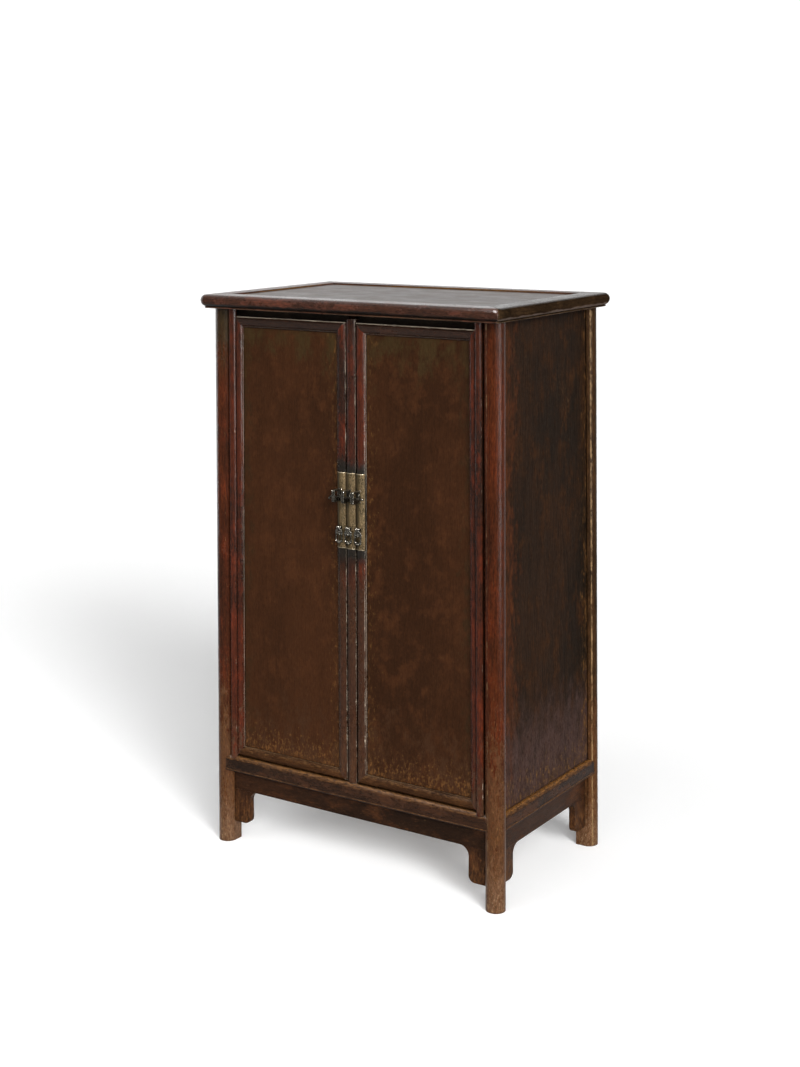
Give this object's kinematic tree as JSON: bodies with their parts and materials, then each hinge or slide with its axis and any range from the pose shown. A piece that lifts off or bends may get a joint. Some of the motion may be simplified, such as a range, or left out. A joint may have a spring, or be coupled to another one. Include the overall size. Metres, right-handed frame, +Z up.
{
  "type": "sloping-stile cabinet",
  "caption": "Tall two-door storage cabinet on splayed round posts, with wooden pivot hinges, a loose centre stile, metal lock plates and swinging pulls.",
  "frame": {"origin": "on the floor, in the middle of the footprint", "axes": "+X to the cabinet's right as seen from the front, +Y to the back, +Z up; the doors face -Y"},
  "size_m": [0.6058, 0.385, 1],
  "materials": {
    "dark_lacquer": "worn dark brown lacquer",
    "red_lacquer": "worn red-brown lacquer",
    "worn_wood": "lacquer worn to the wood",
    "raw_wood": "bare wood",
    "aged_brass": "tarnished and scratched",
    "dark_metal": "dark patina"
  },
  "bodies": {
    "cabinet": {"top_front_member": "red_lacquer", "top_back_member": "dark_lacquer", "top_left_member": "dark_lacquer", "top_right_member": "dark_lacquer", "top_panel": "dark_lacquer", "top_braces": "raw_wood", "front_left_post": "red_lacquer", "front_right_post": "red_lacquer", "back_left_post": "red_lacquer", "back_right_post": "red_lacquer", "front_rail": "worn_wood", "back_rail": "dark_lacquer", "left_rail": "worn_wood", "right_rail": "worn_wood", "door_stop_strip": "dark_lacquer", "left_side_panel": "dark_lacquer", "right_side_panel": "dark_lacquer", "back_stile": "raw_wood", "back_left_panel": "raw_wood", "back_right_panel": "raw_wood", "floor_panel": "raw_wood", "floor_braces": "raw_wood", "lower_shelf": "raw_wood", "upper_shelf": "raw_wood", "shelf_battens": "raw_wood", "front_apron": "dark_lacquer", "back_apron": "dark_lacquer", "left_apron": "dark_lacquer", "right_apron": "dark_lacquer", "front_spandrels": "dark_lacquer", "back_spandrels": "dark_lacquer", "left_spandrels": "dark_lacquer", "right_spandrels": "dark_lacquer"},
    "left_door": {"left_hinge_stile": "red_lacquer", "left_meeting_stile": "red_lacquer", "left_door_top_rail": "dark_lacquer", "left_door_bottom_rail": "worn_wood", "left_door_panel": "dark_lacquer", "left_door_battens": "raw_wood", "left_plate": "aged_brass", "left_lock_lug": "dark_metal", "left_pull_staple": "dark_metal"},
    "right_door": {"right_hinge_stile": "red_lacquer", "right_meeting_stile": "red_lacquer", "right_door_top_rail": "dark_lacquer", "right_door_bottom_rail": "worn_wood", "right_door_panel": "dark_lacquer", "right_door_battens": "raw_wood", "right_plate": "aged_brass", "right_lock_lug": "dark_metal", "right_pull_staple": "dark_metal"},
    "centre_stile": {"centre_stile": "red_lacquer", "centre_plate": "aged_brass", "centre_lock_lug": "dark_metal", "centre_pull_staple": "dark_metal"},
    "left_pull": {"left_pull": "dark_metal"},
    "centre_pull": {"centre_pull": "dark_metal"},
    "right_pull": {"right_pull": "dark_metal"}
  },
  "joints": [
    {"name": "left_door_hinge", "type": "hinge", "parent": "cabinet", "child": "left_door", "pos_m": [-0.2625, -0.1764, 0.00011], "axis": [-0.0168, -0.0142, -0.9998], "range_deg": [0, 120]},
    {"name": "right_door_hinge", "type": "hinge", "parent": "cabinet", "child": "right_door", "pos_m": [0.2625, -0.1764, 0.00011], "axis": [-0.0168, 0.0142, 0.9998], "range_deg": [0, 120]},
    {"name": "centre_stile_lift", "type": "slide", "parent": "cabinet", "child": "centre_stile", "axis": [0, 0.0142, 0.9999], "range_m": [0, 0.0055]},
    {"name": "left_pull_swing", "type": "hinge", "parent": "left_door", "child": "left_pull", "pos_m": [-0.01925, -0.17574, 0.61967], "axis": [-1, 0, 0], "range_deg": [0, 80]},
    {"name": "centre_pull_swing", "type": "hinge", "parent": "centre_stile", "child": "centre_pull", "pos_m": [0, -0.17624, 0.61967], "axis": [-1, 0, 0], "range_deg": [0, 80]},
    {"name": "right_pull_swing", "type": "hinge", "parent": "right_door", "child": "right_pull", "pos_m": [0.01925, -0.17574, 0.61967], "axis": [-1, 0, 0], "range_deg": [0, 80]}
  ]
}
